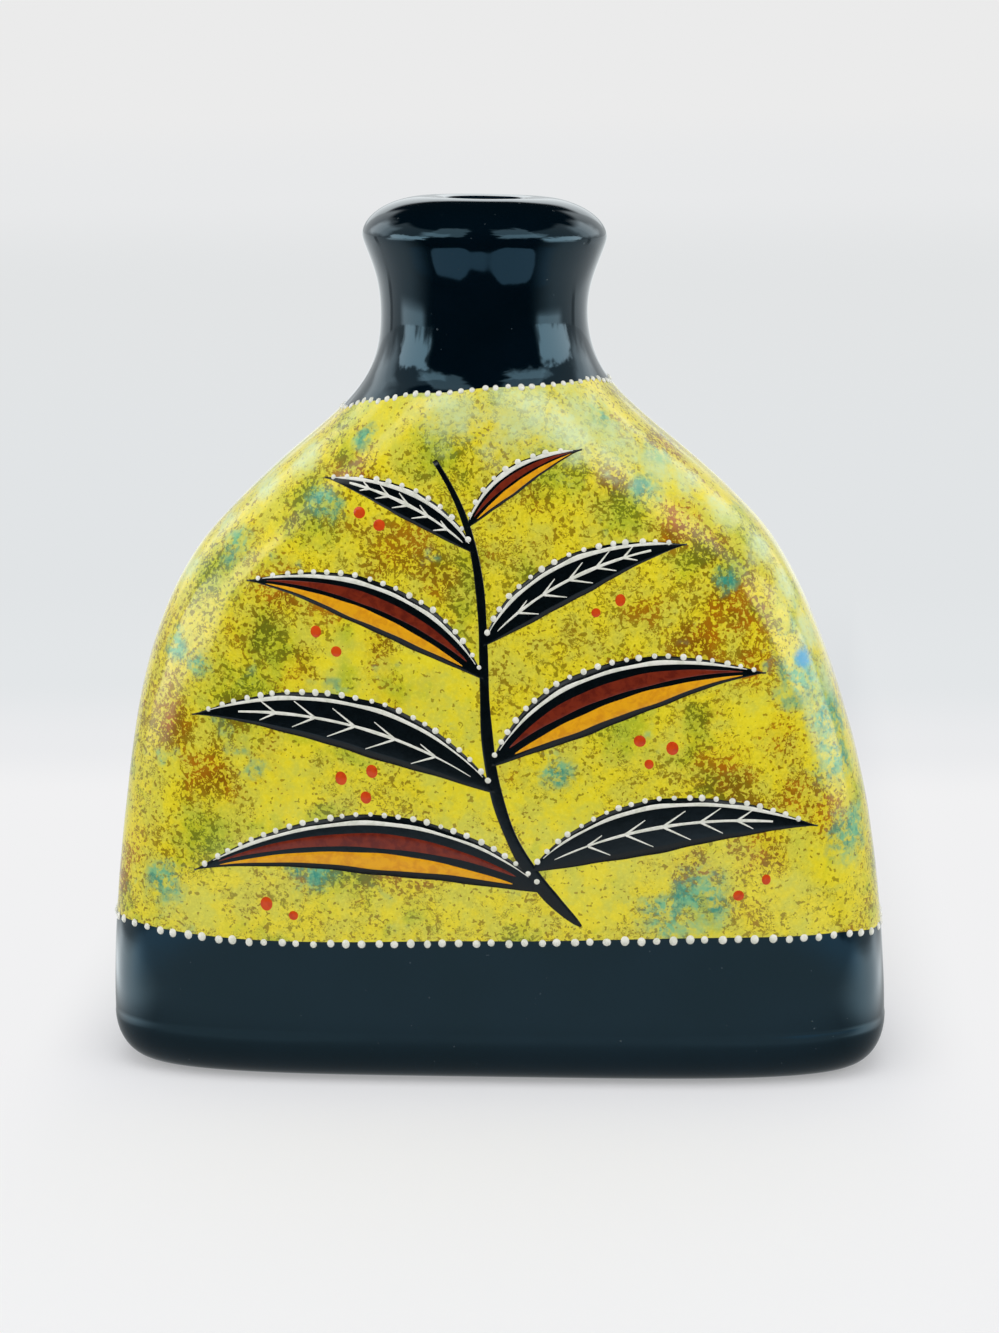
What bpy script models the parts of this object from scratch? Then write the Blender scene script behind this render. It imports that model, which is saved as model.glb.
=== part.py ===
"""Flattened pottery vase: a press-moulded body, a foot tray, a neck collar and a turned rim.

Units are metres, Z is up, the front looks along -Y and the origin is the middle of the foot.
Run it with: blender --background --python part.py
"""
import math

import bmesh
import bpy
from mathutils import Vector

# Clay
WALL = 0.0045
LUTING_GAP = 0.0003

# Foot tray: the black band with its soft lower edge
FOOT_HALF_WIDTH = 0.1033
FOOT_HALF_DEPTH = 0.0330
FOOT_BAND_HEIGHT = 0.0400
FOOT_EDGE_INSET = 0.0090
FOOT_EDGE_RISE = 0.0130
FOOT_RECESS_DEPTH = 0.0042
FOOT_REST_WIDTH = 0.0080
FOOT_FLOOR_ROOT = 0.0036
FOOT_FLOOR_INSET = 0.0035
FOOT_SQUARENESS = 4.0

# Body: from the foot over the shoulder to the waist of the neck
SHOULDER_HALF_WIDTH = 0.0692
SHOULDER_HEIGHT = 0.1452
SHOULDER_SLOPE = 0.95
SHOULDER_TO_WAIST = 0.0526
FLANK_PULL = 0.0150
SHOULDER_PULL_BELOW = 0.0434
SHOULDER_PULL_ABOVE = 0.0366
WAIST_PULL_SIDE = 0.0222
BELLY_PULL = 0.0750
FRONT_SHOULDER_HALF_DEPTH = 0.0290
FRONT_SHOULDER_TO_WAIST = 0.0163
FRONT_PULL_BELOW = 0.0080
FRONT_PULL_ABOVE = 0.0042
WAIST_PULL_FRONT = 0.0090
SQUARENESS_FADE = 1.3

# Neck and rim
WAIST_RADIUS = 0.0264
COLLAR_HEIGHT = 0.0160
FLARE_HEIGHT = 0.0190
FLARE_PULL = 0.0060
LIP_RADIUS = 0.0309
LIP_CROWN = 0.0096
LIP_PULL = 0.0040
CREST_RADIUS = 0.0148
MOUTH_TURN = math.radians(14)

# Heights that follow from the sizes above
WAIST_HEIGHT = SHOULDER_HEIGHT + SHOULDER_TO_WAIST
FRONT_SHOULDER_HEIGHT = WAIST_HEIGHT - FRONT_SHOULDER_TO_WAIST
COLLAR_JOINT = WAIST_HEIGHT - COLLAR_HEIGHT
LIP_HEIGHT = WAIST_HEIGHT + FLARE_HEIGHT

# Mesh fineness
SECTION_POINTS = 64
BAND_STEP = 0.0140
BODY_STEP = 0.0075
SHOULDER_STEP = 0.0034
SHOULDER_REACH = 0.0135
EDGE_STEPS = 5
FLARE_STEPS = 5
CROWN_STEPS = 8
MOUTH_STEPS = 4
TRIM_LAP = 0.0030

BLACK_GLAZE = ("black_glaze", (0.012, 0.020, 0.028), 0.08)
YELLOW_GLAZE = ("sponged_yellow_glaze", (0.640, 0.560, 0.075), 0.14)


def clear_scene():
    """Remove the objects that a new Blender file starts with."""
    for item in list(bpy.data.objects):
        bpy.data.objects.remove(item, do_unlink=True)


def new_collection(name):
    """Add a collection to the scene."""
    collection = bpy.data.collections.new(name)
    bpy.context.scene.collection.children.link(collection)
    return collection


def glaze(name, colour, roughness):
    """A glossy ceramic glaze."""
    material = bpy.data.materials.new(name)
    material.use_nodes = True
    shader = material.node_tree.nodes["Principled BSDF"]
    shader.inputs["Base Color"].default_value = (*colour, 1.0)
    shader.inputs["Roughness"].default_value = roughness
    shader.inputs["Metallic"].default_value = 0.0
    material.diffuse_color = (*colour, 1.0)
    return material


def bezier(segment, t):
    """A point on a cubic curve, given its two ends and two handles."""
    start, handle_1, handle_2, end = segment
    s = 1.0 - t
    return s ** 3 * start + 3 * s * s * t * handle_1 + 3 * s * t * t * handle_2 + t ** 3 * end


def flank_segment():
    """The side outline from the foot's widest point up to the shoulder, as (half width, height)."""
    foot = Vector((FOOT_HALF_WIDTH, FOOT_EDGE_RISE))
    shoulder = Vector((SHOULDER_HALF_WIDTH, SHOULDER_HEIGHT))
    run = Vector((-SHOULDER_SLOPE, 1.0)).normalized()
    return foot, foot + Vector((0.0, FLANK_PULL)), shoulder - run * SHOULDER_PULL_BELOW, shoulder


def sweep_segment():
    """The side outline from the shoulder in to the waist of the neck."""
    shoulder = Vector((SHOULDER_HALF_WIDTH, SHOULDER_HEIGHT))
    waist = Vector((WAIST_RADIUS, WAIST_HEIGHT))
    run = Vector((-SHOULDER_SLOPE, 1.0)).normalized()
    return shoulder, shoulder + run * SHOULDER_PULL_ABOVE, waist - Vector((0.0, WAIST_PULL_SIDE)), waist


def belly_segment():
    """The front outline from the foot band up to the front shoulder, as (half depth, height)."""
    foot = Vector((FOOT_HALF_DEPTH, FOOT_BAND_HEIGHT))
    shoulder = Vector((FRONT_SHOULDER_HALF_DEPTH, FRONT_SHOULDER_HEIGHT))
    run = Vector((-SHOULDER_SLOPE, 1.0)).normalized()
    return foot, foot + Vector((0.0, BELLY_PULL)), shoulder - run * FRONT_PULL_BELOW, shoulder


def throat_segment():
    """The front outline from the front shoulder in to the waist of the neck."""
    shoulder = Vector((FRONT_SHOULDER_HALF_DEPTH, FRONT_SHOULDER_HEIGHT))
    waist = Vector((WAIST_RADIUS, WAIST_HEIGHT))
    run = Vector((-SHOULDER_SLOPE, 1.0)).normalized()
    return shoulder, shoulder + run * FRONT_PULL_ABOVE, waist - Vector((0.0, WAIST_PULL_FRONT)), waist


def across_at(segment, height):
    """How far out a rising curve is at a height, found by halving its range."""
    low, high = 0.0, 1.0
    for _ in range(40):
        middle = (low + high) / 2
        if bezier(segment, middle).y < height:
            low = middle
        else:
            high = middle
    return bezier(segment, (low + high) / 2).x


def half_width(height):
    """Half the body's width at a height."""
    if height <= FOOT_EDGE_RISE:
        return FOOT_HALF_WIDTH
    segment = flank_segment() if height < SHOULDER_HEIGHT else sweep_segment()
    return across_at(segment, height)


def half_depth(height):
    """Half the body's depth, front to back, at a height."""
    if height <= FOOT_BAND_HEIGHT:
        return FOOT_HALF_DEPTH
    segment = belly_segment() if height < FRONT_SHOULDER_HEIGHT else throat_segment()
    return across_at(segment, height)


def squareness(height):
    """The section's exponent: a rounded oblong at the foot, a circle at the waist."""
    rise = min(max(height / WAIST_HEIGHT, 0.0), 1.0)
    return 2.0 + (FOOT_SQUARENESS - 2.0) * (1.0 - rise ** SQUARENESS_FADE)


def section(height, inset=0.0):
    """The points of one level section, with an edge square to each axis."""
    wide = half_width(height) - inset
    deep = half_depth(height) - inset
    power = squareness(height)
    points = []
    for i in range(SECTION_POINTS):
        angle = 2 * math.pi * (i + 0.5) / SECTION_POINTS
        cosine, sine = math.cos(angle), math.sin(angle)
        reach = (abs(cosine) ** power + abs(sine) ** power) ** (1 / power)
        points.append((wide * cosine / reach, deep * sine / reach, height))
    return points


def levels(low, high, step):
    """Evenly spaced heights from low to high, both included, about a step apart."""
    count = max(2, round((high - low) / step))
    return [low + (high - low) * i / count for i in range(count + 1)]


def loft(name, rings, floor=False):
    """An open surface through level rings of as many points each, closed below if it has a floor."""
    mesh = bmesh.new()
    rows = [[mesh.verts.new(point) for point in ring] for ring in rings]
    for lower, upper in zip(rows, rows[1:]):
        for i in range(SECTION_POINTS):
            j = (i + 1) % SECTION_POINTS
            mesh.faces.new((lower[i], lower[j], upper[j], upper[i]))
    if floor:
        mesh.faces.new(tuple(reversed(rows[0])))
    data = bpy.data.meshes.new(name)
    mesh.to_mesh(data)
    mesh.free()
    return data


def add_object(name, data, collection, material=None):
    """Link an object and give it its own material."""
    item = bpy.data.objects.new(name, data)
    collection.objects.link(item)
    if material:
        data.materials.append(glaze(*material))
    return item


def shade(item, angle=40):
    """Smooth shading that keeps the cut edges crisp."""
    item.data.shade_smooth()
    item.data.set_sharp_from_angle(angle=math.radians(angle))


def thicken(item):
    """Give an outer surface the wall's thickness, inwards."""
    solidify = item.modifiers.new("wall", "SOLIDIFY")
    solidify.thickness = WALL
    solidify.offset = -1.0
    solidify.use_even_offset = True


def box_cutter(name, low, high, collection):
    """A hidden box between two corners."""
    mesh = bmesh.new()
    bmesh.ops.create_cube(mesh, size=1.0)
    size = Vector(high) - Vector(low)
    middle = (Vector(high) + Vector(low)) / 2
    bmesh.ops.scale(mesh, vec=size, verts=mesh.verts)
    bmesh.ops.translate(mesh, vec=middle, verts=mesh.verts)
    data = bpy.data.meshes.new(name)
    mesh.to_mesh(data)
    mesh.free()
    return hide_cutter(add_object(name, data, collection))


def hide_cutter(item):
    """Mark an object as a cutter only."""
    item.hide_render = True
    item.display_type = "WIRE"
    return item


def trim(item, cutter, operation):
    """Cut an object with another one."""
    boolean = item.modifiers.new(cutter.name, "BOOLEAN")
    boolean.operation = operation
    boolean.solver = "EXACT"
    boolean.object = cutter


def zone(name, low, high, cutters, y_low=-2 * FOOT_HALF_DEPTH, y_high=2 * FOOT_HALF_DEPTH):
    """A box that keeps what lies between two heights, each half a luting gap inside its joint."""
    reach = 2 * FOOT_HALF_WIDTH
    inside = LUTING_GAP / 2
    return box_cutter(name, (-reach, y_low, low + inside), (reach, y_high, high - inside), cutters)


def make_foot_base(parts, cutters):
    """The foot tray: a floor raised on a rest ring, a soft lower edge and the upright band."""
    rings = []
    for i in range(EDGE_STEPS + 1):
        turn = math.pi / 2 * i / EDGE_STEPS
        inset = FOOT_EDGE_INSET * (1 - math.sin(turn))
        height = FOOT_EDGE_RISE * (1 - math.cos(turn))
        rings.append([(x, y, height) for x, y, _ in section(height, inset)])
    for height in levels(FOOT_EDGE_RISE, FOOT_BAND_HEIGHT + TRIM_LAP, BAND_STEP)[1:]:
        rings.append(section(height))
    base = add_object("foot_base", loft("foot_base", rings, floor=True), parts, BLACK_GLAZE)
    thicken(base)
    keep = zone("keep_foot_band", -FOOT_BAND_HEIGHT, FOOT_BAND_HEIGHT, cutters)
    trim(base, keep, "INTERSECT")
    floor_top = FOOT_RECESS_DEPTH + WALL
    trim(base, prism("floor", FOOT_FLOOR_INSET, FOOT_FLOOR_ROOT, floor_top, cutters), "UNION")
    recess_inset = FOOT_EDGE_INSET + FOOT_REST_WIDTH
    recess = prism("recess", recess_inset, -FOOT_RECESS_DEPTH, FOOT_RECESS_DEPTH, cutters)
    trim(base, recess, "DIFFERENCE")
    shade(base)


def prism(name, inset, low, high, collection):
    """A hidden upright block of the foot's outline, inset all round."""
    outline = section(0.0, inset)
    data = loft(name, [[(x, y, z) for x, y, _ in outline] for z in (low, high)], floor=True)
    cap_top(data)
    return hide_cutter(add_object(name, data, collection))


def cap_top(data):
    """Close the open top of a lofted prism."""
    mesh = bmesh.new()
    mesh.from_mesh(data)
    rim = [edge for edge in mesh.edges if edge.is_boundary]
    bmesh.ops.contextual_create(mesh, geom=rim)
    bmesh.ops.recalc_face_normals(mesh, faces=mesh.faces)
    mesh.to_mesh(data)
    mesh.free()


def make_wall(name, side, parts, cutters):
    """One press-moulded half of the body: side is -1 at the front and 1 at the back."""
    low, high = FOOT_BAND_HEIGHT, COLLAR_JOINT
    bend = FRONT_SHOULDER_HEIGHT - SHOULDER_REACH
    heights = levels(low - TRIM_LAP, bend, BODY_STEP)
    heights += levels(bend, high + TRIM_LAP, SHOULDER_STEP)[1:]
    rings = [section(height) for height in heights]
    wall = add_object(name, loft(name, rings), parts, YELLOW_GLAZE)
    thicken(wall)
    seam = side * LUTING_GAP / 2
    outside = side * 2 * FOOT_HALF_DEPTH
    keep = zone("keep_" + name, low, high, cutters, min(seam, outside), max(seam, outside))
    trim(wall, keep, "INTERSECT")
    shade(wall)


def make_neck_collar(parts, cutters):
    """The collar that turns the oval top of the body into the round neck."""
    low, high = COLLAR_JOINT, WAIST_HEIGHT
    heights = levels(low - TRIM_LAP, high, SHOULDER_STEP)
    rings = [section(height) for height in heights]
    rings.append([(x, y, high + TRIM_LAP) for x, y, _ in rings[-1]])
    collar = add_object("neck_collar", loft("neck_collar", rings), parts, BLACK_GLAZE)
    thicken(collar)
    trim(collar, zone("keep_collar", low, high, cutters), "INTERSECT")
    shade(collar)


def rim_outer_curve():
    """The rim's outer face from the waist joint up the flare and over the crown, as (radius, height)."""
    waist = Vector((WAIST_RADIUS, WAIST_HEIGHT + LUTING_GAP / 2))
    lip = Vector((LIP_RADIUS, LIP_HEIGHT))
    flare = (waist, waist + Vector((0.0, FLARE_PULL)), lip - Vector((0.0, LIP_PULL)), lip)
    points = [bezier(flare, i / FLARE_STEPS) for i in range(FLARE_STEPS + 1)]
    for i in range(1, CROWN_STEPS + 1):
        turn = (math.pi / 2 + MOUTH_TURN) * i / CROWN_STEPS
        radius = CREST_RADIUS + (LIP_RADIUS - CREST_RADIUS) * math.cos(turn)
        points.append(Vector((radius, LIP_HEIGHT + LIP_CROWN * math.sin(turn))))
    return points


def wall_normals(points):
    """The directions square to a curve, pointing out of the clay."""
    normals = []
    for i in range(len(points)):
        along = points[min(i + 1, len(points) - 1)] - points[max(i - 1, 0)]
        normals.append(Vector((along.y, -along.x)).normalized())
    normals[0] = Vector((1.0, 0.0))
    return normals


def make_mouth_rim(parts):
    """The turned rim: a flare that curls inwards over a rounded lip to a narrow mouth."""
    outer = rim_outer_curve()
    normals = wall_normals(outer)
    inner = [point - normal * WALL for point, normal in zip(outer, normals)]
    middle = (outer[-1] + inner[-1]) / 2
    start = outer[-1] - middle
    mouth = []
    for i in range(1, MOUTH_STEPS):
        turn = math.pi * i / MOUTH_STEPS
        mouth.append(middle + Vector((
            start.x * math.cos(turn) - start.y * math.sin(turn),
            start.x * math.sin(turn) + start.y * math.cos(turn))))
    profile = list(reversed(outer)) + inner + list(reversed(mouth))
    data = bpy.data.meshes.new("mouth_rim")
    edges = [(i, (i + 1) % len(profile)) for i in range(len(profile))]
    data.from_pydata([(point.x, 0.0, point.y) for point in profile], edges, [])
    rim = add_object("mouth_rim", data, parts, BLACK_GLAZE)
    turned = rim.modifiers.new("turned", "SCREW")
    turned.axis = "Z"
    turned.angle = 2 * math.pi
    turned.steps = SECTION_POINTS
    turned.render_steps = SECTION_POINTS
    turned.use_merge_vertices = True
    turned.merge_threshold = 0.00001
    turned.use_smooth_shade = True


def build():
    """Build every piece of the vase."""
    clear_scene()
    parts = new_collection("pottery_vase")
    cutters = new_collection("cutters")
    make_foot_base(parts, cutters)
    make_wall("front_wall", -1, parts, cutters)
    make_wall("back_wall", 1, parts, cutters)
    make_neck_collar(parts, cutters)
    make_mouth_rim(parts)


build()
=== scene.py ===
"""The looks of a flattened pottery vase: two glazes, two rows of raised dots and a painted leaf spray.

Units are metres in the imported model's own frame: Z is up and the front looks along -Y.
"""
import math
import random

import bpy
import numpy as np
from mathutils import Matrix, Vector


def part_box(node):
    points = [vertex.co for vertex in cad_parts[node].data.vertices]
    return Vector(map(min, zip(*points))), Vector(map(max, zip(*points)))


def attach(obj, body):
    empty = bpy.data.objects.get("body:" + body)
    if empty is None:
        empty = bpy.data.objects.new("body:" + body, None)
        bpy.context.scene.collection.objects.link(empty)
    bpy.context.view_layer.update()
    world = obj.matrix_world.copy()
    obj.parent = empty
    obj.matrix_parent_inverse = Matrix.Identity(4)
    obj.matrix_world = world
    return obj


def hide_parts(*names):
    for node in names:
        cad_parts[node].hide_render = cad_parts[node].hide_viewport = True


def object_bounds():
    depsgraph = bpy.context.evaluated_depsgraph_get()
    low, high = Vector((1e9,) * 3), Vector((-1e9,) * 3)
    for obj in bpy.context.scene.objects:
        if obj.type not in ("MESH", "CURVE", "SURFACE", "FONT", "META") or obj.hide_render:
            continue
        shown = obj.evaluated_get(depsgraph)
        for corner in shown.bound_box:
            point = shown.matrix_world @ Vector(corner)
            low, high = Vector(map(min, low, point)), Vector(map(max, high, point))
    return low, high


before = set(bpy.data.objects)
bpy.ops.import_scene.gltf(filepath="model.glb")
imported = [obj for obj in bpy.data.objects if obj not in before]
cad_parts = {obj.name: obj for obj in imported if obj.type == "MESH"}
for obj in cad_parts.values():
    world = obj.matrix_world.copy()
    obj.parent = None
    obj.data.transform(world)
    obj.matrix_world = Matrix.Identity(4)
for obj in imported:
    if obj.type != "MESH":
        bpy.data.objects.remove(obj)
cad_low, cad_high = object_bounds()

# Millimetres in a metre
MM = 1000

# Clay, as the solids have it
WALL = 0.0045
HALF_GAP = 0.00015
FOOT_HALF_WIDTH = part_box("foot_base")[1].x
FOOT_HALF_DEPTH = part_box("foot_base")[1].y
FOOT_BAND_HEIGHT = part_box("foot_base")[1].z + HALF_GAP
FOOT_EDGE_INSET = 0.0090
FOOT_EDGE_RISE = 0.0130
FOOT_REST_WIDTH = 0.0080
FOOT_RECESS_DEPTH = 0.0042
FOOT_SQUARENESS = 4.0
SHOULDER_HALF_WIDTH = 0.0692
SHOULDER_HEIGHT = 0.1452
SHOULDER_SLOPE = 0.95
FLANK_PULL = 0.0150
SHOULDER_PULL_BELOW = 0.0434
SHOULDER_PULL_ABOVE = 0.0366
WAIST_PULL_SIDE = 0.0222
BELLY_PULL = 0.0750
FRONT_SHOULDER_HALF_DEPTH = 0.0290
FRONT_SHOULDER_TO_WAIST = 0.0163
FRONT_PULL_BELOW = 0.0080
FRONT_PULL_ABOVE = 0.0042
WAIST_PULL_FRONT = 0.0090
SQUARENESS_FADE = 1.3
WAIST_RADIUS = 0.0264
WAIST_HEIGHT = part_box("neck_collar")[1].z + HALF_GAP
LIP_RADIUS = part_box("mouth_rim")[1].x
LIP_CROWN = 0.0096
LIP_HEIGHT = cad_high.z - LIP_CROWN
CREST_RADIUS = 0.0148
MOUTH_TURN = math.radians(14)

# Flare and crown as the hand turned them, about half a millimetre off the solids at most
FLARE_PULL = 0.0070
FLARE_BEND = (0.0298, LIP_HEIGHT - 0.0038)
FLARE_LEAN = math.radians(21)
FLARE_BEND_PULL_BELOW = 0.0050
FLARE_BEND_PULL_ABOVE = 0.0016
LIP_PULL = 0.0010
CROWN_SLIMNESS = 1.10

# Mesh fineness
AROUND = 448
BAND_ROWS = 24
BODY_ROWS = 112
COLLAR_ROWS = 14
INNER_ROWS = 16
EDGE_ROWS = 12
FLARE_ROWS = 18
CROWN_ROWS = 30
MOUTH_ROWS = 10
OUTLINE_SAMPLES = 500
LINE_SAMPLES = 4001
NORMAL_STEP = 0.00005
CRISP_ANGLE = math.radians(50)

# Unevenness of the clay, always inwards. A wave is its turns along x, y and z, and its start
SWELL_DEPTH = 0.00022
SWELL_WAVES = ((95, 0, 60, 0), (45, -70, 85, 1))
RIPPLE_DEPTH = 0.00005
RIPPLE_WAVES = ((430, 190, -150, 0), (110, 240, 370, 0))

# Hand-made lean: how far the vase sways sideways at each height, and how its rim tilts
SWAY = (
    (0.000, 0.0006), (0.065, 0.0006), (0.122, -0.0010), (0.160, -0.0002),
    (0.195, 0.0001), (0.212, 0.0006), (0.240, 0.0006))
RIM_TILT_RIGHT = math.radians(1.5)
RIM_TILT_BACK = math.radians(1.3)
RIM_LIFT = 0.0003
TILT_FROM = 0.196
TILT_FULL = 0.216

# Heights of the two colour breaks round the vase, by the section's angle: -90 degrees is the front
FOOT_LINE = (
    (-180, 0.0410), (-146, 0.0416), (-118, 0.0399), (-90, 0.0407), (-60, 0.0418),
    (-44, 0.0414), (-26, 0.0396), (0, 0.0398), (60, 0.0411), (120, 0.0402))
NECK_LINE = (
    (-180, 0.1742), (-163, 0.1753), (-141, 0.1783), (-113, 0.1811), (-80, 0.1824),
    (-31, 0.1825), (0, 0.1802), (60, 0.1808), (120, 0.1778))

# Raised dots along the colour breaks, and how far the hand strays when it sets one
FOOT_DOTS = {"line": FOOT_LINE, "pitch": 0.0042, "radius": 0.00105, "drop": 0.0006, "seed": 3}
NECK_DOTS = {"line": NECK_LINE, "pitch": 0.0029, "radius": 0.00080, "drop": 0.0, "seed": 8}
DOT_RISE = 0.55
DOT_SINK = 0.25
DOT_SIDES = 14
DOT_RINGS = 5
DOT_PLACES = (-0.10, 0.10)
DOT_LEVELS = (-0.20, 0.20)
DOT_SIZES = (0.88, 1.12)
DOT_RISES = (0.85, 1.15)
DOT_STRETCHES = (0.95, 1.22)


def bezier(segment, t):
    """Points of a cubic curve, given its two ends and two handles."""
    start, handle_1, handle_2, end = (np.array(point, float) for point in segment)
    t = np.asarray(t, float)[:, None]
    s = 1.0 - t
    return s ** 3 * start + 3 * s * s * t * handle_1 + 3 * s * t * t * handle_2 + t ** 3 * end


def outline(foot, foot_pull, shoulder, pull_below, pull_above, waist_pull):
    """A silhouette from the foot to the waist, as (half width, height)."""
    foot, shoulder = np.array(foot), np.array(shoulder)
    waist = np.array((WAIST_RADIUS, WAIST_HEIGHT))
    run = np.array((-SHOULDER_SLOPE, 1.0))
    run = run / np.linalg.norm(run)
    lower = (foot, foot + (0, foot_pull), shoulder - run * pull_below, shoulder)
    upper = (shoulder, shoulder + run * pull_above, waist - (0, waist_pull), waist)
    t = np.linspace(0, 1, OUTLINE_SAMPLES)
    return np.vstack((bezier(lower, t), bezier(upper, t)[1:]))


# Silhouettes across, from the foot's widest point, and in depth, from the top of the foot band
SIDE = outline(
    (FOOT_HALF_WIDTH, FOOT_EDGE_RISE), FLANK_PULL, (SHOULDER_HALF_WIDTH, SHOULDER_HEIGHT),
    SHOULDER_PULL_BELOW, SHOULDER_PULL_ABOVE, WAIST_PULL_SIDE)
FRONT = outline(
    (FOOT_HALF_DEPTH, FOOT_BAND_HEIGHT), BELLY_PULL,
    (FRONT_SHOULDER_HALF_DEPTH, WAIST_HEIGHT - FRONT_SHOULDER_TO_WAIST),
    FRONT_PULL_BELOW, FRONT_PULL_ABOVE, WAIST_PULL_FRONT)


def half_width(z):
    """Half the body's width at heights z."""
    return np.interp(z, SIDE[:, 1], SIDE[:, 0])


def half_depth(z):
    """Half the body's depth at heights z."""
    return np.interp(z, FRONT[:, 1], FRONT[:, 0])


def squareness(z):
    """The section's exponent at heights z: a rounded oblong at the foot, a circle at the waist."""
    rise = np.clip(np.asarray(z) / WAIST_HEIGHT, 0.0, 1.0)
    return 2.0 + (FOOT_SQUARENESS - 2.0) * (1.0 - rise ** SQUARENESS_FADE)


def section(angle, z, inset=0.0):
    """Points on level sections of the body, given angles and heights."""
    cosine, sine = np.cos(angle), np.sin(angle)
    power = squareness(z)
    reach = (np.abs(cosine) ** power + np.abs(sine) ** power) ** (1 / power)
    x = (half_width(z) - inset) * cosine / reach
    y = (half_depth(z) - inset) * sine / reach
    return np.stack((x, y, np.broadcast_to(z, x.shape)), axis=-1)


def fullness(points):
    """How far out points are: 1 on the body's face."""
    x, y, z = points[..., 0], points[..., 1], points[..., 2]
    power = squareness(z)
    return np.abs(x / half_width(z)) ** power + np.abs(y / half_depth(z)) ** power


def face_normals(points):
    """Outward directions of the body's face at points on it."""
    moves = np.eye(3) * NORMAL_STEP
    slope = np.stack([fullness(points + move) - fullness(points - move) for move in moves], axis=-1)
    return slope / np.linalg.norm(slope, axis=-1, keepdims=True)


def crossing(waves, points):
    """Heights from 0 to 1 of waves that cross each other, at points."""
    x, y, z = points[..., 0], points[..., 1], points[..., 2]
    heights = [1 + np.sin(a * x + b * y + c * z + start) for a, b, c, start in waves]
    return sum(heights) / (2 * len(heights))


def settle(points, normals, lift=0.0):
    """Sink points by the clay's unevenness, then raise them by a lift."""
    sink = SWELL_DEPTH * crossing(SWELL_WAVES, points) + RIPPLE_DEPTH * crossing(RIPPLE_WAVES, points)
    return points + normals * (np.asarray(lift) - sink)[..., None]


def eased(knots, place):
    """Values at places, eased from one given (place, value) to the next."""
    places = np.array([knot[0] for knot in knots])
    values = np.array([knot[1] for knot in knots])
    index = np.clip(np.searchsorted(places, place, side="right") - 1, 0, len(places) - 2)
    part = (place - places[index]) / (places[index + 1] - places[index])
    share = (1 - np.cos(math.pi * part)) / 2
    return values[index] + (values[index + 1] - values[index]) * share


def line_height(line, angle):
    """The height of a colour break at angles round the vase."""
    knots = [(math.radians(turn), height) for turn, height in line]
    knots.append((knots[0][0] + 2 * math.pi, knots[0][1]))
    return eased(knots, (np.asarray(angle) + math.pi) % (2 * math.pi) - math.pi)


def lean(points):
    """Points moved as the hand-made vase sways and its rim tilts."""
    points = np.array(points, float)
    x, y, z = (points[:, i].copy() for i in range(3))
    points[:, 0] += eased(SWAY, np.clip(z, SWAY[0][0], SWAY[-1][0]))
    share = np.clip((z - TILT_FROM) / (TILT_FULL - TILT_FROM), 0, 1)
    share = share * share * (3 - 2 * share)
    points[:, 2] += (RIM_LIFT - x * math.tan(RIM_TILT_RIGHT) - y * math.tan(RIM_TILT_BACK)) * share
    return points


def run_length(line):
    """How far along a line each of its points lies."""
    return np.concatenate(([0], np.cumsum(np.linalg.norm(np.diff(line, axis=0), axis=1))))


def crown_point(turn):
    """A point of the crown as (radius, height), by its turn from the lip's widest place."""
    slim = CROWN_SLIMNESS if turn < math.pi / 2 else 1.0
    reach = math.copysign(abs(math.cos(turn)) ** slim, math.cos(turn))
    radius = CREST_RADIUS + (LIP_RADIUS - CREST_RADIUS) * reach
    return np.array((radius, LIP_HEIGHT + LIP_CROWN * math.sin(turn) ** slim))


def rim_outside():
    """The rim's outer clay from the waist up the flare and over the crown, as (radius, height)."""
    waist, lip = np.array((WAIST_RADIUS, WAIST_HEIGHT)), np.array((LIP_RADIUS, LIP_HEIGHT))
    bend = np.array(FLARE_BEND)
    run = np.array((math.sin(FLARE_LEAN), math.cos(FLARE_LEAN)))
    throat = (waist, waist + (0, FLARE_PULL), bend - run * FLARE_BEND_PULL_BELOW, bend)
    roll = (bend, bend + run * FLARE_BEND_PULL_ABOVE, lip - (0, LIP_PULL), lip)
    t = np.linspace(0, 1, FLARE_ROWS + 1)
    turns = (math.pi / 2 + MOUTH_TURN) * np.arange(1, CROWN_ROWS + 1) / CROWN_ROWS
    return np.vstack((bezier(throat, t), bezier(roll, t)[1:], [crown_point(turn) for turn in turns]))


def rim_curve():
    """The rim's outer clay with its outward directions, and the way down inside, as (radius, height)."""
    outer = rim_outside()
    along = np.gradient(outer, axis=0)
    out = np.stack((along[:, 1], -along[:, 0]), axis=-1)
    out /= np.linalg.norm(out, axis=-1, keepdims=True)
    out[0] = (1, 0)
    inner = outer - out * WALL
    middle = (outer[-1] + inner[-1]) / 2
    start = outer[-1] - middle
    turns = math.pi * np.arange(1, MOUTH_ROWS) / MOUTH_ROWS
    across = start[0] * np.cos(turns) - start[1] * np.sin(turns)
    up = start[0] * np.sin(turns) + start[1] * np.cos(turns)
    mouth = middle + np.stack((across, up), axis=-1)
    return outer, out, np.vstack((mouth, inner[::-1]))


ANGLES = 2 * math.pi * (np.arange(AROUND) + 0.5) / AROUND


def ring(curve_point):
    """One level circle of points for a (radius, height)."""
    radius, height = curve_point
    x, y = radius * np.cos(ANGLES), radius * np.sin(ANGLES)
    return np.stack((x, y, np.full(AROUND, height)), axis=-1)


def body_rows(low, high, count):
    """Rows of points on the body between two heights, which may differ round the vase."""
    return [section(ANGLES, low + (high - low) * part) for part in np.linspace(0, 1, count + 1)]


def face_rows(low, high, count):
    """Rows of the outer face between two heights."""
    return [settle(points, face_normals(points)) for points in body_rows(low, high, count)]


def inner_rows(low, high, count):
    """Rows of the inner face between two heights, one wall behind the outer face."""
    return [points - face_normals(points) * WALL for points in body_rows(low, high, count)]


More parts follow.
